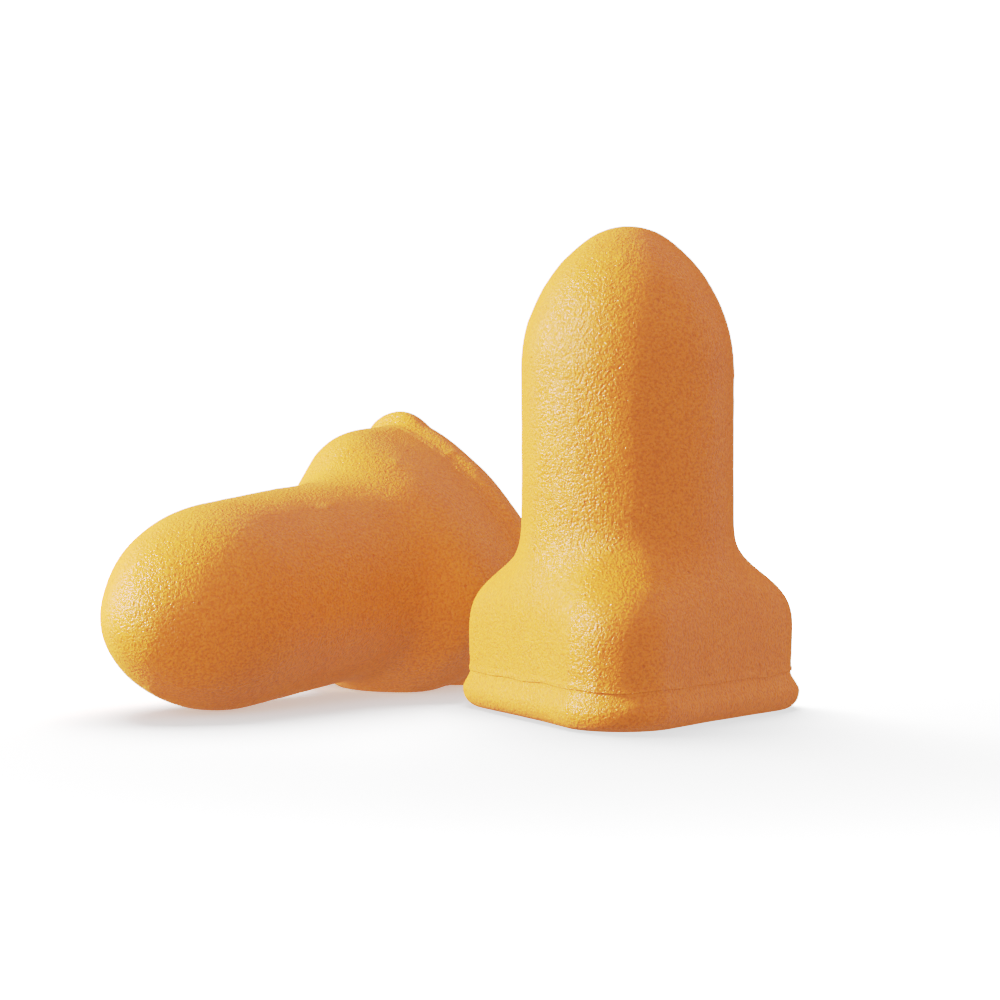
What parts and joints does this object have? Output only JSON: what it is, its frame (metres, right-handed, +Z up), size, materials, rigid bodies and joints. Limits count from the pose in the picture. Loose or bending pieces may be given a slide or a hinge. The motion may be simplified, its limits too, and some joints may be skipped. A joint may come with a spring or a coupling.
{
  "type": "foam ear plugs",
  "caption": "Flared foam ear plugs: round bullet-nosed body that widens to a rounded three-cornered base with a rolled lip, for blocking noise in sleep and travel.",
  "frame": {"origin": "middle of the flat base of the standing plug, on the surface that both plugs rest on", "axes": "+Z up along the standing plug's axis, towards its nose; -Y towards the front, where one corner of the standing plug's flare points; +X to the right, so the lying plug is on the left and behind"},
  "size_m": [0.0374, 0.0318, 0.0264],
  "materials": {
    "foam_standing": "soft polyurethane foam with a matte, finely pitted skin",
    "foam_lying": "soft polyurethane foam with a matte, finely pitted skin"
  },
  "bodies": {
    "standing_plug": {"plug_standing": "foam_standing"},
    "lying_plug": {"plug_lying": "foam_lying"}
  },
  "joints": [
    {"name": "lying_plug_lift", "type": "slide", "parent": "standing_plug", "child": "lying_plug", "axis": [0, 0, 1], "range_m": [0, 0.03]}
  ]
}
